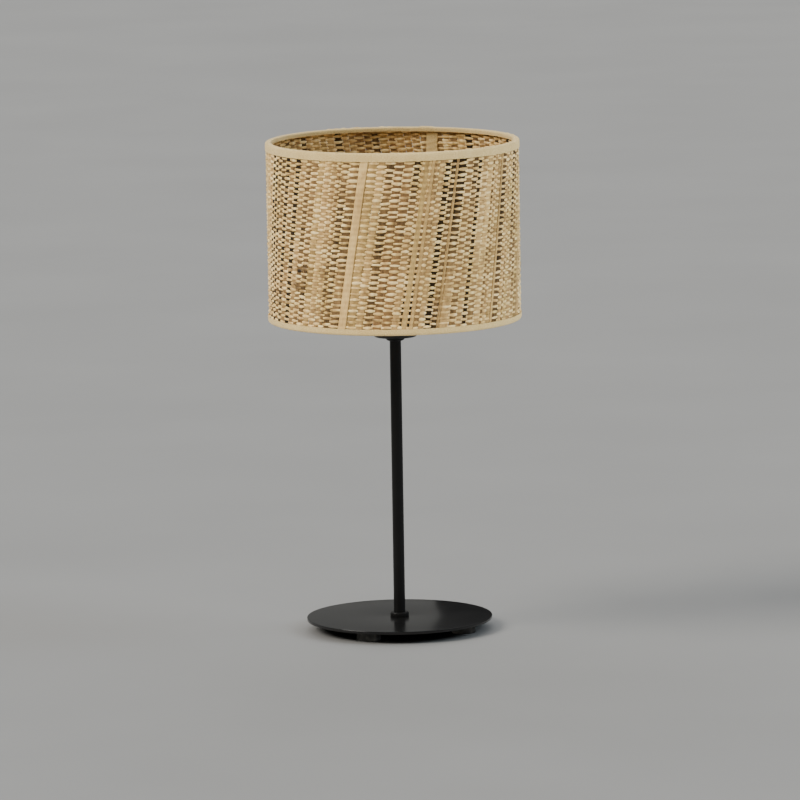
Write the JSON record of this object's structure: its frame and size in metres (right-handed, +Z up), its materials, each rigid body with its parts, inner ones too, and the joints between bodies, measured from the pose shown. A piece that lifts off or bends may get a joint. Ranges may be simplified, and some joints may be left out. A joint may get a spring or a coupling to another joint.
{
  "type": "table lamp with shade",
  "caption": "Table lamp: flat round steel base on rubber feet, slim stem, screw-together lampholder, woven drum shade on a wire frame, screw-in bulb.",
  "frame": {"origin": "on the surface the lamp stands on, under the middle of the base and stem", "axes": "+Z up along the stem, -Y towards the front, +X to the right seen from the front"},
  "size_m": [0.25, 0.25, 0.4875],
  "materials": {
    "black_coat": "satin black powder coat on steel",
    "foot_rubber": "matt black rubber",
    "zinc_steel": "bright zinc plate",
    "brass": "plain turned brass",
    "black_plastic": "matt black heat-resisting plastic",
    "ivory_plastic": "ivory moulded insulator",
    "white_wire": "off-white enamel on steel wire",
    "woven_fibre": "woven natural fibre splints, straw to brown",
    "trim_tape": "cream cotton edge tape",
    "black_glass": "black vitreous insulator",
    "nickel": "nickel plated screw shell",
    "opal_glass": "opal white inside coating"
  },
  "bodies": {
    "stand": {"base_plate": "black_coat", "foot_1": "foot_rubber", "foot_2": "foot_rubber", "foot_3": "foot_rubber", "foot_4": "foot_rubber", "foot_tape": "black_plastic", "base_washer": "zinc_steel", "base_nut": "brass", "cable_bush": "black_plastic", "threaded_pipe": "brass", "base_collar": "black_coat", "stem_tube": "black_coat", "top_collar": "black_coat", "lampholder_cap": "black_plastic", "cap_lock_screw": "zinc_steel", "terminal_block": "ivory_plastic", "terminal_screws": "brass", "centre_contact": "brass", "side_contact": "brass", "lampholder_barrel": "black_plastic"},
    "shade": {"fitter_ring": "white_wire", "fitter_arms": "white_wire", "bottom_wire_ring": "white_wire", "top_wire_ring": "white_wire", "shade_panel": "woven_fibre", "seam_tape": "trim_tape", "top_trim": "trim_tape", "bottom_trim": "trim_tape"},
    "clamp_ring": {"shade_clamp_ring": "black_plastic"},
    "bulb_core": {"bulb_contact": "zinc_steel", "bulb_insulator": "black_glass"},
    "bulb": {"bulb_screw_shell": "nickel", "bulb_glass": "opal_glass"}
  },
  "joints": [
    {"name": "shade_turn", "type": "hinge", "parent": "stand", "child": "shade", "pos_m": [0, 0, 0.3155], "axis": [0, 0, 1], "continuous": true},
    {"name": "clamp_ring_lift", "type": "slide", "parent": "stand", "child": "clamp_ring", "axis": [0, 0, 1], "range_m": [0, 0.012]},
    {"name": "bulb_rise", "type": "slide", "parent": "stand", "child": "bulb_core", "axis": [0, 0, 1], "range_m": [0, 0.01997]},
    {"name": "bulb_turn", "type": "hinge", "parent": "bulb_core", "child": "bulb", "pos_m": [0, 0, 0.34], "axis": [0, 0, 1], "range_deg": [0, 1980]}
  ],
  "couplings": [
    {"joint": "bulb_rise", "follows": "bulb_turn", "m_per_rad": 0.00057757}
  ]
}
